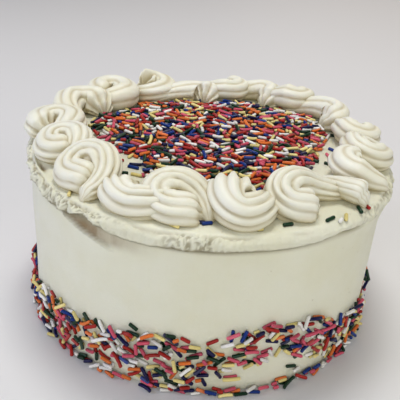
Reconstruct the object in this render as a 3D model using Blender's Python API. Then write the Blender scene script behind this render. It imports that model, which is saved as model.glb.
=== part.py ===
"""A birthday cake iced in white buttercream, with a border of reverse shells round a bed of sprinkles.

Run with: blender --background --python part.py
Metres, +Z up. The origin is the centre of the flat base that the cake rests on.
"""

import math
from collections import namedtuple

import bmesh
import bpy
from mathutils import Matrix, Vector, noise
from mathutils.bvhtree import BVHTree

# Touching pieces keep this gap.
GAP = 0.0003

# The iced cake: a straight side, a rim of icing that overhangs it, and a level top.
FOOT_RADIUS = 0.107
FOOT_ROUNDING = 0.0012
TOP_HEIGHT = 0.0995
TOP_RADIUS = 0.1055
RIM_RADIUS = 0.1112
RIM_UNDERSIDE = 0.0922
RIM_ROUNDING = 0.0026
GROOVE_DEPTH = 0.0010
GROOVE_HEIGHT = 0.0035
CAKE_SEGMENTS = 60
RIM_UNEVENNESS = 0.0010
SIDE_UNEVENNESS = 0.0004
UNEVENNESS_PITCH = 0.035
WALL_SEED = 3.7
RIM_SEED = 9.1

# The border. Each shell is one bead from a star nozzle: a curl, then a tail that the next shell covers.
BLUNT_START = 0.62
BLUNT_START_LENGTH = 0.005
BLUNT_END = 0.45
BLUNT_END_LENGTH = 0.004
BEAD_SWELL = 0.15
BEAD_SEAT = 0.65
BEAD_FLATNESS = 0.88
TAIL_TAPER = 0.50
TAPER_POWER = 1.6
CLIMB_POWER = 1.2
FALL_POWER = 1.5
GROOVE_POWER = 0.6
TILT_PIVOT = 0.0070
ROOT_DEPTH = 0.0008
CROWN_LENGTH = 0.0035
CROWN_UNEVENNESS = 0.6
CROWN_RISE = 0.8
PATH_STEP = 0.00025
WINDING_START = 1 / 3
PATH_RINGS = 52
RING_POINTS = 40
BEAD_VOXEL = 0.0010
SHELL_TRIANGLES = 290
SHELL_CLEARANCE = 0.00045
CURL = 1
SCALLOP = -1

# One row for each shell, in order round the cake, in degrees and millimetres. After a straight lead the bead
# winds by turn, from the inner to the outer radius, on the side of the rim for a CURL and mirrored for a
# SCALLOP. stretch makes the winding oval, across the border, and spin turns it; bend is how far the tail
# turns; lift is the rise of the bead over its own start or, if negative, of the start itself; crown is the
# length of the torn points at the start; tilt leans the winding outwards; groove is the depth between lobes.
Shell = namedtuple(
    "Shell",
    "angle ring side lead turn inner outer stretch spin tail bend bead lift crown tilt lobes groove",
)
SHELLS = (
    Shell(224.5, 88.5, CURL, 9, 195, 8.0, 9.5, 0.95, 0, 34, 90, 9.2, 3.5, 1.2, 22, 10, 0.24),
    Shell(248, 85.0, SCALLOP, 0, 60, 12.0, 12.0, 1.00, 0, 30, 60, 10.3, 0.0, 3.5, 14, 10, 0.23),
    Shell(260.5, 87.0, CURL, 8, 190, 11.0, 9.5, 0.80, 0, 30, 80, 9.2, 1.5, 1.5, 24, 10, 0.24),
    Shell(281, 86.5, SCALLOP, 5, 105, 4.6, 5.4, 1.75, 0, 20, 40, 11.0, 0.0, 3.5, 14, 10, 0.23),
    Shell(301.5, 87.5, CURL, 8, 155, 9.0, 9.5, 0.74, 0, 34, 45, 9.4, 3.0, 1.5, 24, 10, 0.24),
    Shell(325.5, 102.5, CURL, 0, 5, 8.0, 8.0, 1.00, -96, 28, 10, 7.8, 2.0, 1.0, 6, 9, 0.16),
    Shell(338, 91.0, SCALLOP, 0, 170, 8.0, 9.0, 0.90, -85, 17, 15, 9.2, 1.5, 1.0, 10, 7, 0.17),
    Shell(354, 93.5, CURL, 0, 200, 7.0, 9.0, 0.90, 0, 30, 100, 9.2, 3.0, 1.5, 8, 8, 0.17),
    Shell(13, 95.5, CURL, 0, 200, 6.0, 9.0, 0.85, 0, 26, 50, 8.6, 3.5, 1.0, 0, 7, 0.17),
    Shell(35, 90.0, SCALLOP, 0, 110, 10.0, 12.0, 0.80, 0, 34, 40, 9.4, 3.0, 2.0, 0, 6, 0.12),
    Shell(54, 96.5, CURL, 0, 200, 6.0, 9.0, 0.74, 0, 26, 50, 9.2, 5.5, 1.0, 0, 7, 0.14),
    Shell(69, 87.5, SCALLOP, 0, 110, 9.0, 11.0, 0.95, 0, 26, 50, 9.4, 1.0, 2.0, 0, 6, 0.14),
    Shell(84, 90.0, CURL, 0, 200, 6.0, 9.0, 0.90, 0, 26, 50, 9.0, 3.5, 1.0, 0, 7, 0.15),
    Shell(103, 75.5, SCALLOP, 0, 110, 9.0, 15.0, 0.50, 0, 28, 30, 8.8, 0.5, 1.0, 0, 5, 0.08),
    Shell(119, 90.0, CURL, 0, 200, 6.0, 9.0, 0.90, 0, 26, 50, 8.8, -4.0, 11.0, 0, 7, 0.15),
    Shell(141, 90.0, CURL, 0, 290, 6.0, 9.5, 1.12, 0, 28, 50, 9.8, 4.0, 1.0, -8, 6, 0.17),
    Shell(161, 85.5, SCALLOP, 0, 120, 9.0, 11.0, 1.20, 0, 28, 50, 10.4, 2.5, 1.0, 2, 7, 0.14),
    Shell(183, 94.0, CURL, 0, 230, 8.0, 10.0, 0.95, 0, 30, 40, 9.6, 1.5, 3.0, 4, 8, 0.18),
    Shell(202, 89.0, CURL, 4, 265, 7.5, 9.5, 0.90, 0, 32, 60, 9.0, 2.5, 1.2, 12, 10, 0.23),
)

# The heap of sprinkles that fills the border. BED_RADIUS is its widest reach.
BED_RADIUS = 0.086
BED_HEIGHT = 0.0042
BED_EDGE_HEIGHT = 0.0016
BED_UNEVENNESS = 0.0007
BED_WAVE = 0.0030
BED_MARGIN = 0.0010
BED_SEGMENTS = 48
BED_RINGS = 4
BED_BUMP_PITCH = 0.009
BED_FOOT_HEIGHT = 0.0006
BED_EDGE_SEED = 1.3
BED_TOP_SEED = 5.9

# How far the heap reaches from the middle, by angle, in degrees and millimetres.
BED_OUTLINE = (
    (0, 67),
    (18, 78),
    (42, 86),
    (62, 84),
    (90, 79),
    (140, 79),
    (172, 80),
    (195, 64),
    (221, 51),
    (240, 67),
    (250, 84),
    (290, 84),
    (312, 74),
    (340, 67),
    (360, 67),
)

ICING_COLOUR = (0.80, 0.78, 0.71, 1.0)
BORDER_COLOUR = (0.84, 0.82, 0.74, 1.0)
SPRINKLE_COLOUR = (0.42, 0.16, 0.15, 1.0)
ICING_ROUGHNESS = 0.45
SPRINKLE_ROUGHNESS = 0.35

MM = 0.001
FULL_TURN = 2 * math.pi


def clear_scene():
    for old in list(bpy.data.objects):
        bpy.data.objects.remove(old)


def make_material(name, colour, roughness):
    made = bpy.data.materials.new(name)
    made.use_nodes = True
    shader = made.node_tree.nodes["Principled BSDF"]
    shader.inputs["Base Color"].default_value = colour
    shader.inputs["Roughness"].default_value = roughness
    shader.inputs["Metallic"].default_value = 0.0
    return made


def make_object(name, shape, material):
    """Turns a bmesh into a smooth-shaded object of the scene."""
    mesh = bpy.data.meshes.new(name)
    shape.to_mesh(mesh)
    shape.free()
    mesh.materials.append(material)
    mesh.shade_smooth()
    made = bpy.data.objects.new(name, mesh)
    bpy.context.scene.collection.objects.link(made)
    return made


def hide_cutter(cutter):
    cutter.hide_render = True
    cutter.display_type = "WIRE"


def unevenness(point, pitch, seed):
    """A smooth value from -1 to 1 that changes over about one pitch."""
    return noise.noise(Vector(point) / pitch + Vector((seed, seed, seed)))


def turned_shape(profile, segments):
    """A closed shape of revolution about Z, from (radius, height) points that start and end on the axis."""
    shape = bmesh.new()
    points = [shape.verts.new((radius, 0.0, height)) for radius, height in profile]
    edges = [shape.edges.new(pair) for pair in zip(points, points[1:])]
    bmesh.ops.spin(
        shape,
        geom=points + edges,
        axis=(0, 0, 1),
        cent=(0, 0, 0),
        angle=FULL_TURN,
        steps=segments,
        use_merge=True,
    )
    bmesh.ops.remove_doubles(shape, verts=shape.verts, dist=GAP / 10)
    bmesh.ops.recalc_face_normals(shape, faces=shape.faces)
    return shape


# ---- The iced cake ----


def cake_profile():
    """The side from the foot up, the underside of the rim, its rounded edge and the level top."""
    return (
        (0.0, 0.0),
        (FOOT_RADIUS - FOOT_ROUNDING, 0.0),
        (FOOT_RADIUS, FOOT_ROUNDING),
        (FOOT_RADIUS, RIM_UNDERSIDE / 2),
        (FOOT_RADIUS, RIM_UNDERSIDE - 2 * GROOVE_HEIGHT),
        (FOOT_RADIUS - GROOVE_DEPTH, RIM_UNDERSIDE - GROOVE_HEIGHT),
        (FOOT_RADIUS - GROOVE_DEPTH, RIM_UNDERSIDE),
        (RIM_RADIUS - GROOVE_DEPTH, RIM_UNDERSIDE),
        (RIM_RADIUS, RIM_UNDERSIDE + RIM_ROUNDING / 2),
        (RIM_RADIUS - RIM_ROUNDING / 2, TOP_HEIGHT - RIM_ROUNDING / 2),
        (TOP_RADIUS, TOP_HEIGHT),
        (0.0, TOP_HEIGHT),
    )


def make_cake(material):
    shape = turned_shape(cake_profile(), CAKE_SEGMENTS)
    for vertex in shape.verts:
        radius = math.hypot(vertex.co.x, vertex.co.y)
        height = vertex.co.z
        if height < GAP or radius < FOOT_RADIUS - 2 * GROOVE_DEPTH:
            continue
        wave = unevenness(vertex.co, UNEVENNESS_PITCH, WALL_SEED)
        on_rim = height >= RIM_UNDERSIDE and radius > TOP_RADIUS + GAP
        grown = radius + wave * (RIM_UNEVENNESS if on_rim else SIDE_UNEVENNESS)
        vertex.co.x *= grown / radius
        vertex.co.y *= grown / radius
        if on_rim and height < TOP_HEIGHT - RIM_ROUNDING:
            vertex.co.z += RIM_UNEVENNESS * unevenness(vertex.co, UNEVENNESS_PITCH, RIM_SEED)
    return make_object("iced_cake", shape, material)


# ---- The piped border ----

PathPoint = namedtuple("PathPoint", "along across heading wound tailed run")


def curl_path(shell):
    """The bead's centreline in millimetres, along and across the border, from the middle of the curl."""
    step = PATH_STEP / MM
    turn = math.radians(shell.turn)
    along = across = run = wound = 0.0
    points = []
    centres = []
    while run < shell.lead:
        points.append(PathPoint(along, across, -turn, 0.0, 0.0, run))
        along += step * math.cos(turn)
        across -= step * math.sin(turn)
        run += step
    while wound < turn:
        share = wound / turn
        heading = wound - turn
        radius = shell.inner + (shell.outer - shell.inner) * share
        points.append(PathPoint(along, across, heading, share, 0.0, run))
        if wound > turn * WINDING_START:
            inward = Vector((-math.sin(heading), math.cos(heading)))
            centres.append(Vector((along, across)) + radius * inward)
        along += step * math.cos(heading)
        across += step * math.sin(heading)
        run += step
        wound += step / radius
    heading = 0.0
    steps = round(shell.tail / step)
    for index in range(steps + 1):
        share = index / steps
        points.append(PathPoint(along, across, heading, 1.0, share, run))
        along += step * math.cos(heading)
        across += step * math.sin(heading)
        run += step
        heading += 2 * math.radians(shell.bend) / steps * (1 - share)
    middle = sum(centres, Vector((0, 0))) / len(centres)
    return [settled(shell, point, middle) for point in points]


def settled(shell, point, middle):
    """A point of the path once the winding is centred, stretched, spun and, for a scallop, mirrored."""
    place = Vector((point.along, point.across)) - middle
    place.y *= shell.stretch
    place.rotate(Matrix.Rotation(math.radians(shell.spin), 2))
    return point._replace(
        along=place.x,
        across=place.y * shell.side,
        heading=(point.heading + math.radians(shell.spin)) * shell.side,
    )


def on_border(shell, along, across):
    """A point of the top, in metres, from its place along and across the border in millimetres."""
    angle = math.radians(shell.angle) + along / shell.ring
    radius = (shell.ring + across) * MM
    return Vector((radius * math.cos(angle), radius * math.sin(angle), TOP_HEIGHT))


def rise(shell, point):
    """How far the bead stands over the cake's top, more than where it lies on it."""
    if shell.lift < 0:
        return -shell.lift * MM * (1 - point.wound) ** CLIMB_POWER
    return shell.lift * MM * point.wound**CLIMB_POWER * (1 - point.tailed) ** FALL_POWER


def rounded(run, length, blunt):
    """How full the bead is near one of its ends, where it closes to a blunt dome."""
    share = min(1.0, run / length)
    return blunt + (1 - blunt) * math.sqrt(1 - (1 - share) ** 2)


def leant(place, shell, point):
    """A point of the bead once the winding leans outwards."""
    tilt = math.radians(shell.tilt) * (1 - point.tailed)
    radius = math.hypot(place.x, place.y)
    out = radius - shell.ring * MM
    up = place.z - TOP_HEIGHT - TILT_PIVOT
    moved = shell.ring * MM + out * math.cos(tilt) + up * math.sin(tilt)
    height = TOP_HEIGHT + TILT_PIVOT + up * math.cos(tilt) - out * math.sin(tilt)
    scale = moved / radius
    return Vector((place.x * scale, place.y * scale, max(TOP_HEIGHT - ROOT_DEPTH, height)))


def bead_ring(shell, point):
    """The star-shaped section of the bead at one point of its path, reaching down to the cake."""
    centre = on_border(shell, point.along, point.across)
    ahead = on_border(
        shell,
        point.along + math.cos(point.heading),
        point.across + math.sin(point.heading),
    )
    forward = (ahead - centre).normalized()
    side = forward.cross(Vector((0, 0, 1)))
    run = point.run * MM
    left = (1 - point.tailed) * shell.tail * MM
    size = shell.bead * MM * (1 - TAIL_TAPER * point.tailed**TAPER_POWER)
    size *= rounded(run, BLUNT_START_LENGTH, BLUNT_START) * rounded(left, BLUNT_END_LENGTH, BLUNT_END)
    size *= 1 + BEAD_SWELL * (1 - point.wound)
    middle = size * BEAD_SEAT + rise(shell, point)
    ring = []
    for index in range(RING_POINTS):
        angle = FULL_TURN * index / RING_POINTS
        lobe = abs(math.cos(shell.lobes * angle / 2)) ** GROOVE_POWER
        reach = size * (1 - shell.groove * (1 - lobe))
        up = BEAD_FLATNESS * reach * math.cos(angle)
        if up < 0:
            up *= (middle + ROOT_DEPTH) / (BEAD_FLATNESS * size)
        place = centre + side * reach * math.sin(angle)
        place.z += max(-ROOT_DEPTH, middle + up)
        if run < CROWN_LENGTH:
            uneven = 1 + noise.noise(Vector((angle, shell.angle, 0)))
            torn = CROWN_UNEVENNESS * uneven * shell.crown * MM * lobe**3 * (1 - run / CROWN_LENGTH)
            place -= forward * torn
            place.z += max(0.0, CROWN_RISE * torn * up / size)
        ring.append(leant(place, shell, point))
    return ring


def make_bead(name, shell, material):
    """One shell's bead, swept along its path, closed at both ends and fused where it crosses itself."""
    path = curl_path(shell)
    shape = bmesh.new()
    rings = []
    for index in range(PATH_RINGS):
        point = path[round(index * (len(path) - 1) / (PATH_RINGS - 1))]
        rings.append([shape.verts.new(place) for place in bead_ring(shell, point)])
    for ring, following in zip(rings, rings[1:]):
        for index in range(RING_POINTS):
            after = (index + 1) % RING_POINTS
            shape.faces.new((ring[index], ring[after], following[after], following[index]))
    shape.faces.new(reversed(rings[0]))
    shape.faces.new(rings[-1])
    bmesh.ops.recalc_face_normals(shape, faces=shape.faces)
    bead = make_object(name, shape, material)
    fuse = bead.modifiers.new("fuse", "REMESH")
    fuse.mode = "VOXEL"
    fuse.voxel_size = BEAD_VOXEL
    fused = bead.evaluated_get(bpy.context.evaluated_depsgraph_get())
    faces = 2 * len(fused.data.polygons)
    thin = bead.modifiers.new("thin", "DECIMATE")
    thin.decimate_type = "COLLAPSE"
    thin.use_collapse_triangulate = True
    thin.ratio = SHELL_TRIANGLES / faces
    return bead


def make_top_cutter():
    """A slab that trims the shells level, a gap above the cake."""
    shape = bmesh.new()
    bmesh.ops.create_cube(shape, size=1.0)
    depth = 4 * ROOT_DEPTH + FOOT_ROUNDING
    bmesh.ops.scale(shape, verts=shape.verts, vec=(3 * RIM_RADIUS, 3 * RIM_RADIUS, depth))
    bmesh.ops.translate(shape, verts=shape.verts, vec=(0, 0, TOP_HEIGHT + GAP - depth / 2))
    slab = make_object("top_cutter", shape, bpy.data.materials["icing"])
    hide_cutter(slab)
    return slab


def cut(piece, cutter):
    boolean = piece.modifiers.new("cut_" + cutter.name, "BOOLEAN")
    boolean.operation = "DIFFERENCE"
    boolean.solver = "EXACT"
    boolean.object = cutter


def bodies_of(shape):
    """The separate bodies of a bmesh, as lists of vertices."""
    waiting = set(shape.verts)
    bodies = []
    while waiting:
        front = [waiting.pop()]
        body = []
        while front:
            vertex = front.pop()
            body.append(vertex)
            beside = {edge.other_vert(vertex) for edge in vertex.link_edges} & waiting
            waiting -= beside
            front.extend(beside)
        bodies.append(body)
    return bodies


def keep_largest_body(piece):
    """Applies the modifiers and drops the crumbs that the cuts leave beside the bead."""
    graph = bpy.context.evaluated_depsgraph_get()
    shape = bmesh.new()
    shape.from_object(piece, graph)
    bodies = sorted(bodies_of(shape), key=len)
    crumbs = [vertex for body in bodies[:-1] for vertex in body]
    bmesh.ops.delete(shape, geom=crumbs, context="VERTS")
    piece.modifiers.clear()
    shape.to_mesh(piece.data)
    shape.free()


def make_border(material):
    """All the shells, each trimmed where the next ones lie over it."""
    slab = make_top_cutter()
    shells = []
    cutters = []
    for number, shell in enumerate(SHELLS, start=1):
        shells.append(make_bead(f"shell_{number:02d}", shell, material))
        cutter = make_bead(f"shell_cutter_{number:02d}", shell, material)
        swell = cutter.modifiers.new("swell", "DISPLACE")
        swell.strength = SHELL_CLEARANCE
        swell.mid_level = 0.0
        hide_cutter(cutter)
        cutters.append(cutter)
    for index, shell in enumerate(shells):
        cut(shell, slab)
        for ahead in (1, 2):
            cut(shell, cutters[(index + ahead) % len(cutters)])
    for shell in shells:
        keep_largest_body(shell)
    return shells


# ---- The bed of sprinkles ----


def border_trees(shells):
    graph = bpy.context.evaluated_depsgraph_get()
    return [BVHTree.FromObject(shell, graph) for shell in shells]


def outline_radius(angle):
    """How far the heap reaches at an angle where nothing stops it."""
    turned = math.degrees(angle) % 360
    for (start, near), (end, far) in zip(BED_OUTLINE, BED_OUTLINE[1:]):
        if turned <= end:
            return MM * (near + (far - near) * (turned - start) / (end - start))
    return BED_RADIUS


def free_radius(trees, angle):
    """How far the bed may reach at an angle before it meets the border."""
    reach = outline_radius(angle)
    for column in (-1, 0, 1):
        turned = angle + column * FULL_TURN / BED_SEGMENTS / 2
        outward = Vector((math.cos(turned), math.sin(turned), 0))
        for height in (BED_FOOT_HEIGHT, BED_EDGE_HEIGHT, BED_HEIGHT):
            start = Vector((0, 0, TOP_HEIGHT + height))
            for tree in trees:
                distance = tree.ray_cast(start, outward, reach)[3]
                if distance is not None:
                    reach = min(reach, distance - BED_MARGIN)
    return reach


def make_bed(shells, material):
    """A shallow heap with an uneven outline and top, just clear of the shells."""
    low = TOP_HEIGHT + GAP
    profile = [(0.0, low), (BED_RADIUS, low)]
    for index in range(BED_RINGS):
        share = 1 - index / BED_RINGS
        height = BED_EDGE_HEIGHT + (BED_HEIGHT - BED_EDGE_HEIGHT) * math.sqrt(1 - share**2)
        profile.append((BED_RADIUS * share, TOP_HEIGHT + height))
    profile.append((0.0, TOP_HEIGHT + BED_HEIGHT))
    shape = turned_shape(profile, BED_SEGMENTS)
    trees = border_trees(shells)
    reaches = {}
    for vertex in shape.verts:
        radius = math.hypot(vertex.co.x, vertex.co.y)
        if radius < GAP:
            continue
        angle = math.atan2(vertex.co.y, vertex.co.x)
        column = round(angle / FULL_TURN * BED_SEGMENTS) % BED_SEGMENTS
        if column not in reaches:
            edge = Vector((BED_RADIUS * math.cos(angle), BED_RADIUS * math.sin(angle), 0))
            wave = abs(unevenness(edge, 2 * BED_BUMP_PITCH, BED_EDGE_SEED))
            reaches[column] = free_radius(trees, angle) - BED_WAVE * wave
        grown = reaches[column] / BED_RADIUS
        vertex.co.x *= grown
        vertex.co.y *= grown
        if vertex.co.z > low + GAP:
            vertex.co.z += BED_UNEVENNESS * unevenness(vertex.co, BED_BUMP_PITCH, BED_TOP_SEED)
    return make_object("sprinkle_bed", shape, material)


clear_scene()
icing = make_material("icing", ICING_COLOUR, ICING_ROUGHNESS)
piped_icing = make_material("piped_icing", BORDER_COLOUR, ICING_ROUGHNESS)
sprinkles = make_material("sprinkles", SPRINKLE_COLOUR, SPRINKLE_ROUGHNESS)
make_cake(icing)
border = make_border(piped_icing)
make_bed(border, sprinkles)
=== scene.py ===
"""The look of a birthday cake iced in buttercream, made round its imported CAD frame."""

import math
from collections import namedtuple

import bmesh
import bpy
import numpy as np
from mathutils import Matrix, Vector, noise
from mathutils.bvhtree import BVHTree


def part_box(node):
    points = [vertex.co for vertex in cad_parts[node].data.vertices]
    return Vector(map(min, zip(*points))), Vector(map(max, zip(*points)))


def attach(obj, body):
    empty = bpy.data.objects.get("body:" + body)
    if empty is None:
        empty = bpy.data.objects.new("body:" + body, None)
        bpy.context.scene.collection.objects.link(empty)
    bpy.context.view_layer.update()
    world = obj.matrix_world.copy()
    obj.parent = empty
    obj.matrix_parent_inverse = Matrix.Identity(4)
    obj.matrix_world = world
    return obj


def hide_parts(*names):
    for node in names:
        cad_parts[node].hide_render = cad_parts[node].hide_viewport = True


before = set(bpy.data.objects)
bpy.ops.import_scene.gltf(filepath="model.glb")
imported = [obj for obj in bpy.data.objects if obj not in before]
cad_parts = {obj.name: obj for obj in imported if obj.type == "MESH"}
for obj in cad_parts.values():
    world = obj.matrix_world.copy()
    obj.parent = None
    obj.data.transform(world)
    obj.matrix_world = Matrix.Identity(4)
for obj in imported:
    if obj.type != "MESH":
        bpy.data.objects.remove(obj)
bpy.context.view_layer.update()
MM = 0.001
FULL_TURN = 2 * math.pi


# ---- The icing coat -----------------------------------------------------------------------------
# Buttercream spread over the cake with a palette knife. The side is scraped upright and nearly
# smooth, and the icing pushed up past the top edge is left as a ragged lip that overhangs it.

coat_segments = 960
foot_radius = 107.0
foot_rounding = 1.2
lip_inside = 105.5
lip_rounding = 1.9
groove_depth = 1.7
top_height = 1000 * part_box("iced_cake")[1].z
bed_middle_radius = 60.0
knife_wave = 0.45
knife_pitch = 38.0
lip_coarse_pitch = 5.0
lip_fine_pitch = 2.2
lip_roughness = 1.45

# By angle round the cake: the lip's lower edge and radius in millimetres, how ragged it is, and
# how far below it the side starts to flare out.
LipPlace = namedtuple("LipPlace", "angle edge radius ragged flare")
LIP = (
    LipPlace(0, 92.6, 110.9, 0.35, 7.0),
    LipPlace(22, 91.6, 111.0, 0.45, 3.0),
    LipPlace(48, 92.8, 110.6, 0.35, 2.0),
    LipPlace(75, 91.9, 111.0, 0.50, 2.0),
    LipPlace(98, 92.7, 110.7, 0.40, 2.5),
    LipPlace(124, 91.4, 111.0, 0.55, 2.0),
    LipPlace(150, 92.5, 110.8, 0.45, 2.0),
    LipPlace(176, 92.7, 110.2, 0.60, 2.0),
    LipPlace(198, 93.4, 109.0, 0.90, 1.5),
    LipPlace(208, 92.8, 109.2, 1.00, 1.5),
    LipPlace(218, 91.0, 110.2, 1.00, 1.2),
    LipPlace(227, 91.9, 110.6, 1.00, 1.2),
    LipPlace(237, 94.0, 110.6, 0.90, 1.2),
    LipPlace(243, 92.2, 110.8, 0.60, 1.2),
    LipPlace(249, 90.4, 111.1, 0.30, 1.0),
    LipPlace(257, 90.4, 111.4, 0.20, 1.0),
    LipPlace(264, 91.4, 111.2, 0.75, 1.0),
    LipPlace(272, 91.6, 111.2, 0.80, 1.0),
    LipPlace(280, 92.0, 111.2, 0.30, 1.2),
    LipPlace(293, 91.9, 111.1, 0.18, 1.2),
    LipPlace(301, 92.6, 111.0, 0.22, 1.5),
    LipPlace(308, 94.2, 110.7, 0.25, 2.5),
    LipPlace(324, 91.2, 111.0, 0.55, 9.0),
    LipPlace(336, 92.8, 111.1, 0.70, 15.0),
)

# The knife left a thin ridge of icing on the side, running down and away from the lip.
smear_start = (226.5, 90.3)
smear_end = (246.5, 79.6)
smear_height = 1.7
smear_width = 0.80
smear_hollow = 1.8
smear_reach = 11.5

# A fold along the shelf's outer edge, where the last stroke turned the lip over.
fold_radius = 108.2
fold_width = 0.55
fold_depth = 0.8

# A scoop out of the shelf at the left, where the knife lifted the icing off.
gouge_angle = 208.5
gouge_span = 4.0
gouge_radius = 103.2
gouge_width = 1.9
gouge_depth = 2.4


class Wire:
    """One output socket in a material. Arithmetic on it adds Math nodes."""

    def __init__(self, tree, socket=None):
        self.tree = tree
        self.socket = socket

    def node(self, kind, settings=None, sockets=None, output=0):
        """A node of that kind, its settings first, then the values or wires of its sockets."""
        made = self.tree.nodes.new(kind)
        for name, value in (settings or {}).items():
            if name != "stops":
                setattr(made, name, value)
                continue
            ramp = made.color_ramp.elements
            while len(ramp) < len(value):
                ramp.new(0.5)
            for stop, (position, colour) in zip(ramp, value):
                stop.position = position
                stop.color = colour
        for key, value in (sockets or {}).items():
            if isinstance(value, Wire):
                self.tree.links.new(value.socket, made.inputs[key])
            else:
                made.inputs[key].default_value = value
        return Wire(self.tree, made.outputs[output])

    def math(self, operation, *values):
        return self.node("ShaderNodeMath", {"operation": operation}, dict(enumerate(values)))

    def __add__(self, other):
        return self.math("ADD", self, other)

    def __sub__(self, other):
        return self.math("SUBTRACT", self, other)

    def __rsub__(self, other):
        return self.math("SUBTRACT", other, self)

    def __mul__(self, other):
        return self.math("MULTIPLY", self, other)

    __radd__ = __add__
    __rmul__ = __mul__

    def between(self, low, high):
        """0 where the value is under low, 1 where it is over high, and a smooth step between."""
        sockets = {"Value": self, "From Min": low, "From Max": high}
        return self.node("ShaderNodeMapRange", {"interpolation_type": "SMOOTHSTEP"}, sockets)

    def colours(self, first, second):
        """The first colour where the value is 0 and the second where it is 1."""
        return self.node("ShaderNodeMix", {"data_type": "RGBA"}, {0: self, 6: first, 7: second}, 2)

    def noise(self, vector, pitch, detail=2.0):
        """Noise from 0 to 1 with features about pitch metres wide."""
        sockets = {"Vector": vector, "Scale": 1 / pitch, "Detail": detail}
        return self.node("ShaderNodeTexNoise", None, sockets)

    def stretched(self, vector, x, y, z):
        settings = {"operation": "MULTIPLY"}
        return self.node("ShaderNodeVectorMath", settings, {0: vector, 1: (x, y, z)})

    def attribute(self, name):
        return self.node("ShaderNodeAttribute", {"attribute_name": name}, None, "Fac")

    def bump(self, height, distance, strength=1.0, normal=None):
        sockets = {"Height": height, "Distance": distance, "Strength": strength}
        if normal:
            sockets["Normal"] = normal
        return self.node("ShaderNodeBump", None, sockets)


def new_material(name, constants):
    """A material with its shader's constant values set, and a wire to add its nodes with."""
    made = bpy.data.materials.new(name)
    made.use_nodes = True
    shader = made.node_tree.nodes["Principled BSDF"]
    for socket, value in constants.items():
        shader.inputs[socket].default_value = value
    return made, Wire(made.node_tree), shader.inputs


def join(wire, socket):
    wire.tree.links.new(wire.socket, socket)


def finish_piece(name, shape, material):
    """Turns a bmesh into a smooth-shaded piece that rides on the cake."""
    mesh = bpy.data.meshes.new(name)
    shape.to_mesh(mesh)
    shape.free()
    mesh.materials.append(material)
    mesh.shade_smooth()
    piece = bpy.data.objects.new(name, mesh)
    bpy.context.scene.collection.objects.link(piece)
    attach(piece, "root")
    return piece


def round_table(rows, field, angle):
    """A value of a table by angle, read between its rows, all the way round."""
    angles = [row.angle for row in rows]
    values = [getattr(row, field) for row in rows]
    return float(np.interp(angle % 360, angles, values, period=360))


def smooth_step(value, low, high):
    share = min(1.0, max(0.0, (value - low) / (high - low)))
    return share * share * (3 - 2 * share)


def wave(place, pitch, seed):
    """Smooth noise from about -1 to 1, with features about pitch millimetres wide."""
    return noise.noise(Vector(place) / pitch + Vector((seed, 2 * seed, 3 * seed)))


def coat_profile():
    """Points in millimetres from the middle of the base, up the side, round the lip, to the top."""
    low = 92.0
    points = [(0.0, 0.0), (foot_radius / 2, 0.0), (foot_radius - foot_rounding, 0.0)]
    points.append((foot_radius - 0.3 * foot_rounding, 0.3 * foot_rounding))
    points += [(foot_radius, height) for height in np.linspace(foot_rounding, 76, 16)]
    points += [(foot_radius, height) for height in np.linspace(76.6, low - 2.2, 21)]
    points += [(foot_radius - groove_depth * math.sin(share), low - 2.2 + 1.1 * share)
               for share in np.linspace(0.3, 1.7, 4)]
    points += [(radius, low) for radius in np.linspace(foot_radius - 0.6, 110.0, 6)]
    for turn in np.linspace(-80, 60, 9):
        bend = math.radians(turn)
        out = 111.1 - lip_rounding + lip_rounding * math.cos(bend)
        points.append((out, low + 2.2 + 1.6 * lip_rounding * math.sin(bend) * (0.7 if turn < 0 else 1)))
    points += [(radius, top_height - 1.7 * ((radius - lip_inside) / 4) ** 2)
               for radius in np.linspace(109.1, lip_inside, 10)]
    points += [(radius, top_height) for radius in np.linspace(104.8, 84, 15)]
    points += [(radius, top_height) for radius in (78, 70, bed_middle_radius, 40, 20, 0)]
    return points


def smear(angle, height, edge):
    """(ridge, hollow) from 0 to 1 of the knife's ridge and of the recessed strip above it, which the coat
    paints tan: partly bared cake, partly painted shade.
    """
    along = (angle - smear_start[0]) / (smear_end[0] - smear_start[0])
    if not 0 <= along <= 1.7:
        return 0.0, 0.0
    wobble = 0.5 * wave((angle * 1.9, 0, 0), 9.0, 4.1) + 0.25 * wave((angle * 1.9, 0, 0), 2.2, 1.7)
    lower = smear_start[1] + along**0.75 * (smear_end[1] - smear_start[1]) + wobble
    ridge = math.exp(-(((height - lower) / smear_width) ** 2))
    ridge *= smooth_step(along, 0.0, 0.12) * (1 - smooth_step(along, 0.86, 1.0))
    lower = max(lower, edge - smear_reach)
    hollow = smooth_step(height, lower + 0.3, lower + 1.0 + 5 * smooth_step(along, 0.7, 1.2))
    hollow *= smooth_step(along, 0.02, 0.1) * (1 - smooth_step(along, 0.4, 1.7))
    return ridge, hollow * (1 - smooth_step(height, edge, edge + 2))


def torn_relief(place):
    """Flakes and crumbs from about -0.6 to 1 where the icing tore."""
    flakes = 1 - 2 * abs(noise.noise(place / lip_coarse_pitch))
    crumbs = 1 - 2 * abs(noise.noise(place / lip_fine_pitch + Vector((5, 5, 5))))
    return flakes**3 + 0.7 * crumbs**3 - 0.7


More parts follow.
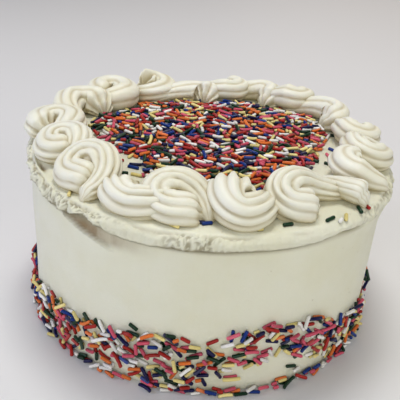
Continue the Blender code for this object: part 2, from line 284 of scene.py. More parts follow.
def make_coat(material):
    shape = bmesh.new()
    points = [shape.verts.new((radius, 0, height)) for radius, height in coat_profile()]
    edges = [shape.edges.new(pair) for pair in zip(points, points[1:])]
    bmesh.ops.spin(shape, geom=points + edges, axis=(0, 0, 1), cent=(0, 0, 0), angle=FULL_TURN,
                   steps=coat_segments, use_merge=True)
    bmesh.ops.remove_doubles(shape, verts=shape.verts, dist=0.001)
    bmesh.ops.recalc_face_normals(shape, faces=shape.faces)
    tan = shape.verts.layers.float.new("hollow")
    cleft = shape.verts.layers.float.new("cleft")
    places = {}
    for step in range(3600):
        places[step] = [round_table(LIP, field, step / 10) for field in LipPlace._fields[1:]]
    for vertex in shape.verts:
        radius = math.hypot(vertex.co.x, vertex.co.y)
        height = vertex.co.z
        if height < 0.01 or radius < 1:
            continue
        angle = math.degrees(math.atan2(vertex.co.y, vertex.co.x)) % 360
        edge, reach, ragged, flare = places[int(angle * 10) % 3600]
        place = vertex.co.copy()
        slow = wave(place, knife_pitch, 3.7)
        upright = wave((place.x, place.y, place.z / 6), 11.0, 8.2)
        on_side = 1 - smooth_step(radius, 111.0, 111.5)
        grown = radius
        if radius > lip_inside - 3:
            grown += (knife_wave * slow + 0.14 * upright) * smooth_step(radius, 102.5, 107)
        lip = smooth_step(height, 90.5, 92.0) * smooth_step(radius, lip_inside - 2, 109)
        if height > 91.9 or lip > 0:
            grown += (reach - 111.1) * lip
        if height < 92.01 and radius > foot_radius - 2 and height > edge - flare - 20:
            spread = smooth_step(flare, 2.0, 7.0)
            rise = smooth_step(height, 91.5 - 1.6 * flare, 92.0)
            grown += max(0.0, 0.9 * rise * rise * spread * (reach - 1.2 - foot_radius)
                         * (1 - smooth_step(radius, foot_radius + 0.2, 110)))
            grown += max(0.0, foot_radius - radius) * smooth_step(flare, 5.0, 10.0)
        lift = 0.0
        if radius > foot_radius - 2 and height > 86:
            drop = edge - 92.0
            lift = drop * smooth_step(height, 86, 92) * (1 - smooth_step(height, 94, 98.5))
        ridge, hollow = smear(angle, height + lift, edge) if radius < 108 else (0.0, 0.0)
        grown += smear_height * ridge - smear_hollow * hollow
        # Painted shade, partly bared cake: the hollow mask also tints the recessed strip tan in the material.
        vertex[tan] = hollow
        torn = ragged * smooth_step(radius, 106.4, 109.0) * smooth_step(height, 91.0, 92.5)
        # Painted shade under the lip: a dark band on the side just below its lower edge, darker where the lip
        # is ragged.
        under = smooth_step(height, 86.0, 91.0) * (1 - smooth_step(height, 92.0, 94.5))
        under *= (1 - smooth_step(flare, 4.0, 9.0)) * (radius > foot_radius - 3)
        vertex[cleft] = (0.45 + 0.55 * ragged) * under
        push = Vector((0, 0, 0))
        if torn > 0:
            push = lip_roughness * torn * noise.noise_vector(place / lip_coarse_pitch)
            relief = lip_roughness * torn * torn_relief(place)
            # Painted shade in the crevices of the torn lip.
            vertex[cleft] = max(vertex[cleft], -0.9 * relief)
            grown += relief * smooth_step(-height, -99.0, -96.0)
            lift += relief * smooth_step(height, 96.0, 99.0)
        if height > 97:
            shelf = 0.45 * wave(place, 14.0, 6.6) + 0.22 * wave(place, 5.0, 2.2)
            lift += shelf * smooth_step(radius, 84, 92)
            around = Vector((place.x, place.y, 0))
            fold = radius - fold_radius - 1.2 * wave(around, 16.0, 5.1)
            fold = math.exp(-((fold / fold_width) ** 2)) * smooth_step(wave(around, 20.0, 2.9), -0.05, 0.35)
            lift -= fold_depth * fold
            scoop = ((angle - gouge_angle) / gouge_span) ** 2 + ((radius - gouge_radius) / gouge_width) ** 2
            scoop = math.exp(-scoop * (1 + 0.5 * wave(around, 5.0, 7.7)))
            lift -= gouge_depth * scoop
            # Painted shade, partly bared cake: the shelf's fold and the knife's scoop are tinted tan through
            # the same mask.
            vertex[tan] = max(0.35 * fold, smooth_step(scoop, 0.3, 0.9))
        scale = grown / radius
        vertex.co = Vector((place.x * scale, place.y * scale, height + lift)) + push
        limit = 111.9 / math.hypot(vertex.co.x, vertex.co.y)
        if limit < 1:
            vertex.co.x *= limit
            vertex.co.y *= limit
    bmesh.ops.scale(shape, verts=shape.verts, vec=(MM, MM, MM))
    return finish_piece("icing_coat", shape, material)


def icing_nodes(wire, inputs, cream, warm, streaks, grain_depth):
    """Cream that is warmer in patches, with knife or nozzle streaks, fine grain and air pits."""
    place = wire.node("ShaderNodeTexCoord", None, None, "Object")
    patches = wire.noise(place, 0.030, 3.0)
    grain = wire.noise(place, 0.0011, 4.0)
    cells = wire.node("ShaderNodeTexVoronoi", None, {"Vector": place, "Scale": 260.0}, "Distance")
    pitted = wire.noise(place, 0.012, 1.0).between(0.60, 0.66)
    pits = (1 - cells.between(0.06, 0.16)) * pitted
    height = grain * 0.6 + streaks * 0.8 - pits * 0.8
    join(wire.bump(height, grain_depth), inputs["Normal"])
    roughness = grain * 0.12 + 0.40
    join(roughness, inputs["Roughness"])
    return patches.between(0.35, 0.7).colours(cream, warm), pits


coat_material, wire, inputs = new_material("buttercream_coat", {
    "Subsurface Weight": 0.12,
    "Subsurface Radius": (1.0, 0.8, 0.5),
    "Subsurface Scale": 0.0015,
    "Specular IOR Level": 0.35,
})
place = wire.node("ShaderNodeTexCoord", None, None, "Object")
strokes = wire.noise(wire.stretched(place, 1, 1, 0.12), 0.004, 3.0)
colour, pits = icing_nodes(wire, inputs, (0.797, 0.785, 0.635, 1), (0.767, 0.75, 0.575, 1), strokes, 0.00035)
blotches = wire.noise(wire.stretched(place, 1, 1, 0.5), 0.005, 4.0).between(0.3, 0.65)
# Painted shade, partly bared cake: the strip under the lip, the fold and the scoop turn dark tan.
bared_and_shade = wire.attribute("hollow") * (blotches * 0.35 + 0.62)
colour = bared_and_shade.colours(colour, (0.29, 0.20, 0.10, 1))
# Painted shade: dark under the lip and in the torn lip's crevices.
cleft_shade = wire.attribute("cleft").between(0.05, 0.8) * 0.88
colour = cleft_shade.colours(colour, (0.33, 0.29, 0.18, 1))
# Painted shade: the air pits are darkened tan.
colour = (pits * 0.5).colours(colour, (0.60, 0.52, 0.38, 1))
join(colour, inputs["Base Color"])
coat = make_coat(coat_material)
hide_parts("iced_cake")


# ---- The piped border ---------------------------------------------------------------------------
# Nineteen reverse shells of stiff buttercream, pressed from a bag with an open star nozzle. Each
# starts as a curl or an open scallop, and its tail sweeps down under the start of the next.

groove_narrowing = 0.60
groove_waver = 0.30
blunt_start = 0.62
blunt_start_length = 5.0
blunt_end = 0.45
blunt_end_length = 4.0
bead_swell = 0.15
bead_seat = 0.65
bead_flatness = 0.88
tail_taper = 0.50
tilt_pivot = 7.0
root_depth = 0.8
path_step = 0.25
bead_step = 0.65
bead_points = 64
bead_wobble = 0.05
height_wobble = 0.8
ridge_roughness = 0.16
crown_length = 3.5
groove_fade = 5.0
# Rings that close an end: how wide each is, and how far past the end in millimetres.
END_CAP = ((0.30, 4.8), (0.60, 4.0), (0.82, 2.9), (0.95, 1.6))
CURL = 1
SCALLOP = -1

# One row for each shell, in degrees and millimetres: after a straight lead the bead winds by turn,
# from the inner to the outer radius, on the lip's side of the border for a CURL and mirrored for
# a SCALLOP.
# stretch and spin make the winding oval and turn it; tail and bend are the tail's length and
# turn; lift is the bead's rise over its own start, or the start's own if negative; crown is the
# length of the torn points that the nozzle pulled at the start; tilt leans the winding outwards.
Shell = namedtuple("Shell", "angle ring side lead turn inner outer stretch spin tail bend bead lift crown "
                            "tilt lobes groove")
SHELLS = (
    Shell(224.5, 88.5, CURL, 9, 195, 8.0, 9.5, 0.95, 0, 34, 90, 9.2, 3.5, 1.2, 22, 10, 0.24),
    Shell(248, 85.0, SCALLOP, 0, 60, 12.0, 12.0, 1.00, 0, 30, 60, 10.3, 0.0, 3.5, 14, 10, 0.23),
    Shell(260.5, 87.0, CURL, 8, 190, 11.0, 9.5, 0.80, 0, 30, 80, 9.2, 1.5, 1.5, 24, 10, 0.24),
    Shell(281, 86.5, SCALLOP, 5, 105, 4.6, 5.4, 1.75, 0, 20, 40, 11.0, 0.0, 3.5, 14, 10, 0.23),
    Shell(301.5, 87.5, CURL, 8, 155, 9.0, 9.5, 0.74, 0, 34, 45, 9.4, 3.0, 1.5, 24, 10, 0.24),
    Shell(325.5, 102.5, CURL, 0, 5, 8.0, 8.0, 1.00, -96, 28, 10, 7.8, 2.0, 1.0, 6, 9, 0.16),
    Shell(338, 91.0, SCALLOP, 0, 170, 8.0, 9.0, 0.90, -85, 17, 15, 9.2, 1.5, 1.0, 10, 7, 0.17),
    Shell(354, 93.5, CURL, 0, 200, 7.0, 9.0, 0.90, 0, 30, 100, 9.2, 3.0, 1.5, 8, 8, 0.17),
    Shell(13, 95.5, CURL, 0, 200, 6.0, 9.0, 0.85, 0, 26, 50, 8.6, 3.5, 1.0, 0, 7, 0.20),
    Shell(35, 90.0, SCALLOP, 0, 110, 10.0, 12.0, 0.80, 0, 34, 40, 9.4, 3.0, 2.0, 0, 6, 0.17),
    Shell(54, 96.5, CURL, 0, 200, 6.0, 9.0, 0.74, 0, 26, 50, 9.2, 5.5, 1.0, 0, 7, 0.19),
    Shell(69, 87.5, SCALLOP, 0, 110, 9.0, 11.0, 0.95, 0, 26, 50, 9.4, 1.0, 2.0, 0, 6, 0.19),
    Shell(84, 90.0, CURL, 0, 200, 6.0, 9.0, 0.90, 0, 26, 50, 9.0, 3.5, 1.0, 0, 7, 0.20),
    Shell(103, 75.5, SCALLOP, 0, 110, 9.0, 15.0, 0.50, 0, 28, 30, 8.8, 0.5, 3.0, 0, 8, 0.11),
    Shell(119, 90.0, CURL, 0, 200, 6.0, 9.0, 0.90, 0, 26, 50, 8.8, -4.0, 11.0, 0, 7, 0.20),
    Shell(141, 90.0, CURL, 0, 290, 6.0, 9.5, 1.12, 0, 28, 50, 9.8, 4.0, 1.0, -8, 6, 0.17),
    Shell(161, 85.5, SCALLOP, 0, 120, 9.0, 11.0, 1.20, 0, 28, 50, 10.4, 2.5, 2.5, 2, 8, 0.19),
    Shell(183, 94.0, CURL, 0, 230, 8.0, 10.0, 0.95, 0, 30, 40, 9.6, 1.5, 3.0, 4, 8, 0.18),
    Shell(202, 89.0, CURL, 4, 265, 7.5, 9.5, 0.90, 0, 32, 60, 9.0, 2.5, 1.2, 12, 10, 0.23),
)
PathPoint = namedtuple("PathPoint", "along across heading wound tailed run")


def curl_path(shell):
    """The bead's centreline in millimetres, along and across the border, from the curl's middle."""
    turn = math.radians(shell.turn)
    along = across = run = wound = 0.0
    points = []
    centres = []
    while run < shell.lead:
        points.append(PathPoint(along, across, -turn, 0.0, 0.0, run))
        along += path_step * math.cos(turn)
        across -= path_step * math.sin(turn)
        run += path_step
    while wound < turn:
        share = wound / turn
        heading = wound - turn
        radius = shell.inner + (shell.outer - shell.inner) * share
        points.append(PathPoint(along, across, heading, share, 0.0, run))
        if wound >= turn / 3:
            inward = Vector((-math.sin(heading), math.cos(heading)))
            centres.append(Vector((along, across)) + radius * inward)
        along += path_step * math.cos(heading)
        across += path_step * math.sin(heading)
        run += path_step
        wound += path_step / radius
    heading = 0.0
    steps = round(shell.tail / path_step)
    for index in range(steps + 1):
        share = index / steps
        points.append(PathPoint(along, across, heading, 1.0, share, run))
        along += path_step * math.cos(heading)
        across += path_step * math.sin(heading)
        run += path_step
        heading += 2 * math.radians(shell.bend) / steps * (1 - share)
    middle = sum(centres, Vector((0, 0))) / len(centres)
    return [settled(shell, point, middle) for point in points]


def settled(shell, point, middle):
    """A point of the path once the winding is centred, stretched, spun and, if a scallop, mirrored."""
    place = Vector((point.along, point.across)) - middle
    place.y *= shell.stretch
    place.rotate(Matrix.Rotation(math.radians(shell.spin), 2))
    heading = (point.heading + math.radians(shell.spin)) * shell.side
    return point._replace(along=place.x, across=place.y * shell.side, heading=heading)


def on_border(shell, along, across):
    """A place on the cake's top, in millimetres, from a place along and across the border."""
    angle = math.radians(shell.angle) + along / shell.ring
    radius = shell.ring + across
    return Vector((radius * math.cos(angle), radius * math.sin(angle), top_height))


def rise(shell, point):
    """How far the bead stands over the top, more than where it lies on it."""
    if shell.lift < 0:
        return -shell.lift * (1 - point.wound) ** 1.2
    return shell.lift * point.wound**1.2 * (1 - point.tailed) ** 1.5


def leant(place, shell, point):
    """A place on the bead once the winding leans outwards, as the tilted nozzle laid it."""
    tilt = math.radians(shell.tilt) * (1 - point.tailed)
    radius = math.hypot(place.x, place.y)
    out = radius - shell.ring
    up = place.z - top_height - tilt_pivot
    moved = shell.ring + out * math.cos(tilt) + up * math.sin(tilt)
    height = top_height + tilt_pivot + up * math.cos(tilt) - out * math.sin(tilt)
    scale = moved / radius
    return Vector((place.x * scale, place.y * scale, max(top_height - root_depth, height)))


def rounded(run, length, blunt):
    """How full the bead is near one of its ends, where it closes to a blunt dome."""
    share = min(1.0, run / length)
    return blunt + (1 - blunt) * math.sqrt(1 - (1 - share) ** 2)


def place_ring(shell, point, ring, layers, narrow=1.0, past=0.0):
    """Moves one ring of the bead to its star-shaped section at a point of the path, or past its end."""
    crease, along_layer, around_layer = layers
    seed = shell.angle * 0.37
    centre = on_border(shell, point.along, point.across)
    ahead = on_border(shell, point.along + math.cos(point.heading),
                      point.across + math.sin(point.heading))
    forward = (ahead - centre).normalized()
    side = forward.cross(Vector((0, 0, 1)))
    left = (1 - point.tailed) * shell.tail
    fade = smooth_step(left, -1.0, groove_fade)
    if shell.crown < 2:
        fade *= smooth_step(point.run, -1.0, groove_fade)
    size = shell.bead * (1 - tail_taper * point.tailed**1.6)
    size *= rounded(point.run, blunt_start_length, blunt_start)
    size *= rounded(left, blunt_end_length, blunt_end)
    size *= 1 + bead_swell * (1 - point.wound)
    centre += forward * (past * size / shell.bead)
    size *= 1 + bead_wobble * wave((point.run, 0, 0), 11.0, seed)
    uneven = height_wobble * wave((point.run, 0, 9), 14.0, seed) * (1 - point.tailed)
    middle = size * bead_seat + rise(shell, point) + uneven
    twist = 0.05 * math.sin(point.run * 0.05 + seed)
    for index, vertex in enumerate(ring):
        around = FULL_TURN * (index / bead_points - 0.5)
        waver = groove_waver * wave((0.35 * point.run, 10 * around, 2 * seed), 9.0, 3.3)
        lobe = abs(math.cos(shell.lobes * (around + twist + waver) / 2)) ** groove_narrowing
        depth = fade * shell.groove * (1 + 0.7 * wave((point.run, 7 * around, seed), 12.0, 6.1))
        reach = size * (1 - depth * (1 - lobe))
        reach += ridge_roughness * wave((point.run, 9 * around, seed), 2.4, 8.0)
        out = narrow * reach * math.sin(around)
        up = bead_flatness * reach * math.cos(around)
        if up < 0:
            up *= (middle + root_depth) / (bead_flatness * size)
        height = narrow * (middle + up + root_depth) - root_depth
        place = centre + side * out + Vector((0, 0, max(-root_depth, height)))
        if shell.crown and point.run < crown_length:
            torn = shell.crown * lobe * (0.6 + 0.6 * noise.noise(Vector((around * 1.7, seed, 2))))
            torn *= narrow * lobe**2 * (1 - point.run / crown_length)
            place -= forward * torn
            place.z += max(0.0, 0.8 * torn * up / size)
        vertex.co = leant(place, shell, point)
        vertex[crease] = 1 - lobe
        vertex[along_layer] = point.run
        vertex[around_layer] = around


def pipe_shell(name, shell, material):
    """Presses out one shell: a ring of icing extruded along its path, closed at both ends."""
    path = curl_path(shell)
    stops = round(path[-1].run / bead_step)
    shape = bmesh.new()
    layers = [shape.verts.layers.float.new(each) for each in ("crease", "along", "around")]
    ring = bmesh.ops.create_circle(shape, segments=bead_points, radius=1)["verts"]
    stations = [(path[0], narrow, -past) for narrow, past in END_CAP]
    stations += [(path[round(stop * (len(path) - 1) / stops)], 1.0, 0.0) for stop in range(stops + 1)]
    stations += [(path[-1], narrow, past) for narrow, past in reversed(END_CAP)]
    place_ring(shell, stations[0][0], ring, layers, *stations[0][1:])
    edges = list(shape.edges)
    for point, narrow, past in stations[1:]:
        pressed = bmesh.ops.extrude_edge_only(shape, edges=edges)["geom"]
        ring = [part for part in pressed if isinstance(part, bmesh.types.BMVert)]
        ends = set(ring)
        edges = [part for part in pressed
                 if isinstance(part, bmesh.types.BMEdge) and ends.issuperset(part.verts)]
        place_ring(shell, point, ring, layers, narrow, past)
    bmesh.ops.holes_fill(shape, edges=shape.edges, sides=0)
    bmesh.ops.recalc_face_normals(shape, faces=shape.faces)
    bmesh.ops.scale(shape, verts=shape.verts, vec=(MM, MM, MM))
    return finish_piece(name, shape, material)


piped_material, wire, inputs = new_material("buttercream_piped", {
    "Subsurface Weight": 0.12,
    "Subsurface Radius": (1.0, 0.8, 0.5),
    "Subsurface Scale": 0.0015,
    "Specular IOR Level": 0.35,
})
drawn = wire.node("ShaderNodeCombineXYZ", None, {
    "X": wire.attribute("along") * 0.0003,
    "Y": wire.attribute("around") * 0.006,
})
streaks = wire.noise(drawn, 0.0012, 2.0)
colour, pits = icing_nodes(wire, inputs, (0.865, 0.852, 0.735, 1), (0.835, 0.81, 0.66, 1), streaks, 0.00022)
place = wire.node("ShaderNodeTexCoord", None, None, "Object")
height = wire.node("ShaderNodeSeparateXYZ", None, {"Vector": place}, "Z")
# Painted shade: the shells turn tan near the top they sit on.
low_shade = 1 - height.between((top_height - 1) * MM, (top_height + 9) * MM)
# Painted shade: the grooves between the ridges darkened tan.
crease_shade = wire.attribute("crease").between(0.2, 0.9) * 0.72
colour = (low_shade * 0.42).colours(colour, (0.70, 0.63, 0.42, 1))
colour = crease_shade.colours(colour, (0.56, 0.47, 0.28, 1))
# Painted shade: tan where the surface is walled in, in creases, under curls and between shells.
open_sky = wire.node("ShaderNodeAmbientOcclusion", {"samples": 6}, {"Distance": 0.012}, "AO")
colour = ((1 - open_sky.between(0.25, 1.0)) * 0.85).colours(colour, (0.52, 0.44, 0.26, 1))
join(colour, inputs["Base Color"])
border = []
for number, shell in enumerate(SHELLS, start=1):
    piece = pipe_shell(f"piped_shell_{number:02d}", shell, piped_material)
    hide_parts(f"shell_{number:02d}")
    border.append(piece)


# ---- The sprinkles ------------------------------------------------------------------------------
# Rod sprinkles of coloured sugar paste, about 7 mm long, with blunt rounded ends. They lie two or
# three deep inside the border, and stick in the icing in a ragged band round the foot.

sprinkle_radius = 1.02
sprinkle_sides = 8
SprinkleForm = namedtuple("SprinkleForm", "length bend share")
FORMS = (
    SprinkleForm(6.8, 0.0, 0.30),
    SprinkleForm(7.6, 0.3, 0.24),
    SprinkleForm(5.6, 0.0, 0.20),
    SprinkleForm(8.4, 0.9, 0.10),
    SprinkleForm(9.8, 0.5, 0.06),
    SprinkleForm(3.4, 0.0, 0.10),
)
SprinkleKind = namedtuple("SprinkleKind", "name colour pale share")
KINDS = (
    SprinkleKind("rose", (0.72, 0.095, 0.160, 1), 0.08, 0.16),
    SprinkleKind("red", (0.44, 0.018, 0.012, 1), 0.05, 0.15),
    SprinkleKind("orange", (0.86, 0.19, 0.030, 1), 0.07, 0.14),
    SprinkleKind("yellow", (0.96, 0.80, 0.30, 1), 0.12, 0.15),
    SprinkleKind("white", (1.0, 0.975, 0.92, 1), 0.10, 0.16),
    SprinkleKind("green", (0.001, 0.035, 0.010, 1), 0.03, 0.11),
    SprinkleKind("navy", (0.003, 0.003, 0.062, 1), 0.03, 0.12),
    SprinkleKind("blue", (0.003, 0.035, 0.24, 1), 0.04, 0.09),
)
Sprinkle = namedtuple("Sprinkle", "kind form place direction roll tone")

dice = np.random.default_rng(11)
heap_cell = 0.4
heap_half = 100.0
heap_count = 1600
heap_depth = 4.6
heap_edge_depth = 2.4
heap_outline = (
    (0, 67), (10, 74), (18, 82), (28, 86), (42, 89), (54, 89), (62, 86), (74, 82), (90, 79),
    (112, 77), (127, 80), (140, 79), (160, 80), (172, 80), (183, 71), (195, 64), (204, 59),
    (214, 53), (221, 51), (230, 58), (240, 67), (250, 84), (290, 84), (312, 74), (332, 67),
    (345, 67),
)


def make_form(form):
    """One sprinkle along X: a rod with rounded ends, bent a little in its middle."""
    shape = bmesh.new()
    bmesh.ops.create_cone(shape, cap_ends=True, segments=sprinkle_sides, radius1=sprinkle_radius,
                          radius2=sprinkle_radius, depth=form.length)
    rims = [edge for edge in shape.edges if abs(edge.verts[0].co.z - edge.verts[1].co.z) < 0.1]
    bmesh.ops.bevel(shape, geom=rims, offset=0.6 * sprinkle_radius, segments=2, profile=0.5,
                    affect="EDGES", material=-1)
    for share in (-0.2, 0.2):
        bmesh.ops.bisect_plane(shape, geom=shape.verts[:] + shape.edges[:] + shape.faces[:],
                               plane_co=(0, 0, share * form.length), plane_no=(0, 0, 1))
    bmesh.ops.rotate(shape, verts=shape.verts, cent=(0, 0, 0),
                     matrix=Matrix.Rotation(math.pi / 2, 3, "Y"))
    ends = shape.verts.layers.float.new("end")
    for vertex in shape.verts:
        share = 2 * vertex.co.x / form.length
        vertex.co.y += form.bend * (share * share - 0.4)
        vertex[ends] = smooth_step(abs(share), 0.8, 1.0)
    bmesh.ops.recalc_face_normals(shape, faces=shape.faces)
    bmesh.ops.scale(shape, verts=shape.verts, vec=(MM, MM, MM))
    mesh = bpy.data.meshes.new("sprinkle_form")
    shape.to_mesh(mesh)
    shape.free()
    return mesh


def pick(rows):
    shares = np.array([row.share for row in rows])
    return int(dice.choice(len(rows), p=shares / shares.sum()))


def settle(field, cell, half, x, y, heading, length, radius, steepest):
    """(height, slope) at which a rod comes to rest on a height field, and the cells under it."""
    along = np.arange(-length / 2 + 0.4, length / 2 - 0.39, cell)
    across = np.array((-0.7, -0.35, 0.0, 0.35, 0.7))
    columns = x + along[:, None] * math.cos(heading) - across[None] * math.sin(heading)
    rows = y + along[:, None] * math.sin(heading) + across[None] * math.cos(heading)
    i = np.clip(((columns + half) / cell).astype(int), 0, field.shape[0] - 1)
    j = np.clip(((rows + half) / cell).astype(int), 0, field.shape[1] - 1)
    crown = np.sqrt(radius**2 - across**2)
    needed = (field[i, j] + crown[None]).max(axis=1)
    best = (needed.max(), 0.0)
    for slope in np.linspace(-steepest, steepest, 9):
        height = (needed - slope * along).max()
        if height < best[0] - 1e-6:
            best = (height, slope)
    return best, (i, j, along, crown)


def lay(field, rest, cells):
    height, slope = rest
    i, j, along, crown = cells
    np.maximum.at(field, (i, j), (height + slope * along)[:, None] + crown[None])


def free_reach(trees, angle):
    """How far from the middle the top is clear of the border, in millimetres."""
    outward = Vector((math.cos(angle), math.sin(angle), 0))
    reach = 90.0
    for height in (0.8, 2.0, 3.2):
        start = Vector((0, 0, (top_height + height) * MM))
        for tree in trees:
            distance = tree.ray_cast(start, outward, reach * MM)[3]
            if distance is not None:
                reach = min(reach, distance / MM)
    return reach


def fill_border(trees):
    """Scatters the sprinkles inside the border, each settling on those below it."""
    field = np.zeros((round(2 * heap_half / heap_cell),) * 2)
    angles = np.radians(np.arange(0, 360, 2.0))
    free = np.array([free_reach(trees, angle) for angle in angles])
    outline = np.interp(np.degrees(angles), *zip(*heap_outline), period=360)
    ragged = np.array([2.5 * wave((60 * math.cos(a), 60 * math.sin(a), 0), 9.0, 1.1) for a in angles])
    reach = np.minimum(free + 1.0, outline + ragged)
    laid = []
    while len(laid) < heap_count:
        radius, angle = 91 * math.sqrt(dice.random()), FULL_TURN * dice.random()
        form = pick(FORMS)
        length = FORMS[form].length
        best = None
        for attempt in range(4):
            x = radius * math.cos(angle) + dice.normal(0, 1.5)
            y = radius * math.sin(angle) + dice.normal(0, 1.5)
            heading = dice.normal(0, 0.8)
            tips = [(x + end * length / 2 * math.cos(heading), y + end * length / 2 * math.sin(heading))
                    for end in (-1, 0, 1)]
            inside = all(math.hypot(*tip) < np.interp(math.atan2(tip[1], tip[0]) % FULL_TURN, angles,
                                                      reach, period=FULL_TURN) for tip in tips)
            if not inside:
                continue
            rest, cells = settle(field, heap_cell, heap_half, x, y, heading, length,
                                 sprinkle_radius, 0.2)
            clear = np.interp(angle, angles, reach, period=FULL_TURN) - radius
            deepest = heap_edge_depth + (heap_depth - heap_edge_depth) * smooth_step(clear, 2, 16)
            if rest[0] < deepest and (best is None or rest[0] < best[0][0]):
                best = rest, cells, x, y, heading
        if best is None:
            continue
        rest, cells, x, y, heading = best
        lay(field, rest, cells)
        direction = Vector((math.cos(heading), math.sin(heading), rest[1]))
        place = Vector((x, y, top_height - 0.15 + rest[0]))
        laid.append(Sprinkle(pick(KINDS), form, place, direction, FULL_TURN * dice.random(),
                             dice.random()))
    return laid


# By angle: the top and bottom of the band in millimetres, and how thickly it is covered.
BandPlace = namedtuple("BandPlace", "angle top bottom cover")
BAND = (
    BandPlace(0, 30, 8, 0.60),
    BandPlace(30, 33, 6, 0.80),
    BandPlace(60, 40, 10, 0.75),
    BandPlace(90, 35, 6, 0.85),
    BandPlace(120, 42, 12, 0.80),
    BandPlace(150, 34, 7, 0.85),
    BandPlace(180, 27, 8, 0.70),
    BandPlace(188, 22, 6, 0.50),
    BandPlace(193, 21, 4, 0.50),
    BandPlace(197, 13, 2, 0.90),
    BandPlace(203, 17, 3, 0.95),
    BandPlace(209, 23, 5, 0.95),
    BandPlace(216, 28, 8, 0.95),
    BandPlace(236, 30, 9, 0.95),
    BandPlace(244, 32, 7, 0.95),
    BandPlace(252, 36, 6, 0.95),
    BandPlace(258, 39, 4, 0.90),
    BandPlace(268, 38, 3, 0.85),
    BandPlace(274, 36, 14, 0.80),
    BandPlace(281, 40, 19, 0.75),
    BandPlace(287, 45, 21, 0.80),
    BandPlace(303, 45, 20, 0.85),
    BandPlace(309, 41, 12, 0.90),
    BandPlace(316, 33, 5, 0.90),
    BandPlace(324, 30, 4, 0.90),
    BandPlace(334, 25, 4, 0.95),
    BandPlace(341, 18, 3, 0.90),
    BandPlace(346, 11, 2, 0.80),
    BandPlace(351, 27, 6, 0.55),
)
band_count = 990
side_cell = 0.4


def press_band(tree):
    """Sticks sprinkles in the side, thickest in the band and thinning at its edges."""
    around = FULL_TURN * foot_radius
    field = np.zeros((round(around / side_cell) + 2, round(60 / side_cell)))
    laid = []
    while len(laid) < band_count:
        run = around * dice.random()
        angle = math.degrees(run / foot_radius)
        top, bottom, cover = (round_table(BAND, name, angle) for name in BandPlace._fields[1:])
        top += 2.5 * wave((run, 0, 0), 7.0, 5.5)
        height = 1.5 + 50 * dice.random()
        edge = smooth_step(height, bottom - 2.5, bottom + 2) * (1 - smooth_step(height, top - 3, top + 2))
        edge = max(edge * cover, 0.06 * (height < top))
        if dice.random() > edge:
            continue
        form = pick(FORMS)
        length = FORMS[form].length
        heading = dice.normal(0, 0.65)
        low = height - abs(length / 2 * math.sin(heading)) - sprinkle_radius
        if low < 0:
            continue
        rest, cells = settle(field, side_cell, 0.0, run, height, heading, length,
                             sprinkle_radius, 0.35)
        if rest[0] > 4.2:
            continue
        lay(field, rest, cells)
        turn = run / foot_radius
        outward = Vector((math.cos(turn), math.sin(turn), 0))
        tangent = Vector((-math.sin(turn), math.cos(turn), 0))
        start = outward * 0.2 + Vector((0, 0, height * MM))
        surface = tree.ray_cast(start, -outward)[0]
        place = surface / MM + outward * (rest[0] - 0.35)
        direction = tangent * math.cos(heading) + Vector((0, 0, math.sin(heading))) + outward * rest[1]
        laid.append(Sprinkle(pick(KINDS), form, place, direction, FULL_TURN * dice.random(),
                             dice.random()))
    return laid


foot_count = 190


def line_foot():
    """The row that fell and gathered against the foot of the cake."""
    field = np.zeros((round(2 * 120 / heap_cell),) * 2)
    laid = []
    while len(laid) < foot_count:
        turn = FULL_TURN * dice.random()
        crowd = wave((foot_radius * math.cos(turn), foot_radius * math.sin(turn), 0), 16.0, 7.3)
        if dice.random() > 0.75 + 0.9 * crowd:
            continue
        form = pick(FORMS)
        length = FORMS[form].length
        radius = foot_radius + 1.3 + 2.6 * dice.random() ** 1.5
        heading = turn + math.pi / 2 + dice.normal(0, 0.45)
        x, y = radius * math.cos(turn), radius * math.sin(turn)
        tips = [math.hypot(x + end * length / 2 * math.cos(heading), y + end * length / 2 * math.sin(heading))
                for end in (-1, 1)]
        if min(tips + [radius]) < foot_radius + 1.1 or max(tips) > foot_radius + 6:
            continue
        rest, cells = settle(field, heap_cell, 120.0, x, y, heading, length, sprinkle_radius, 0.4)
        if rest[0] > 3.2:
            continue
        lay(field, rest, cells)
        direction = Vector((math.cos(heading), math.sin(heading), rest[1]))
        laid.append(Sprinkle(pick(KINDS), form, Vector((x, y, rest[0] + 0.22)), direction,
                             FULL_TURN * dice.random(), dice.random()))
    return laid


# Single sprinkles that fell on the shelf between the border and the lip, or beside the heap.
Stray = namedtuple("Stray", "angle radius heading kind form")
STRAYS = (
    Stray(306, 104.6, 10, 5, 0), Stray(311, 106.6, 40, 3, 2), Stray(308.5, 107.2, 20, 4, 5),
    Stray(317.5, 106.4, 60, 5, 2), Stray(321, 106.0, 75, 1, 0), Stray(293, 101.6, 0, 5, 2),
    Stray(284.5, 103.6, 5, 3, 5), Stray(262, 103.6, -20, 3, 2), Stray(268, 98.0, 0, 6, 0),
    Stray(270.5, 98.5, 20, 7, 2), Stray(229, 104.6, -50, 3, 1), Stray(226.4, 60.3, 25, 7, 0),
    Stray(224.5, 57.0, 50, 6, 1), Stray(228.2, 69.1, 40, 5, 2), Stray(233.9, 65.5, 20, 3, 0),
    Stray(212.9, 53.5, -60, 3, 2), Stray(216.2, 61.4, 70, 1, 5), Stray(200.5, 55.9, 60, 0, 0),
    Stray(205.0, 61.2, 85, 0, 1), Stray(19.7, 84.3, 60, 5, 2), Stray(355.2, 72.4, 20, 0, 0),
    Stray(345.9, 71.6, 70, 5, 5), Stray(3.0, 76.0, 40, 7, 2),
)


def drop_strays(tree):
    laid = []
    for stray in STRAYS:
        turn = math.radians(stray.angle)
        start = Vector((stray.radius * MM * math.cos(turn), stray.radius * MM * math.sin(turn), 0.2))
        surface, normal = tree.ray_cast(start, Vector((0, 0, -1)))[:2]
        heading = turn + math.pi / 2 + math.radians(stray.heading)
        flat = Vector((math.cos(heading), math.sin(heading), 0))
        direction = flat - normal * flat.dot(normal)
        place = surface / MM + normal * (sprinkle_radius - 0.3)
        laid.append(Sprinkle(stray.kind, stray.form, place, direction, 0.0, dice.random()))
    return laid


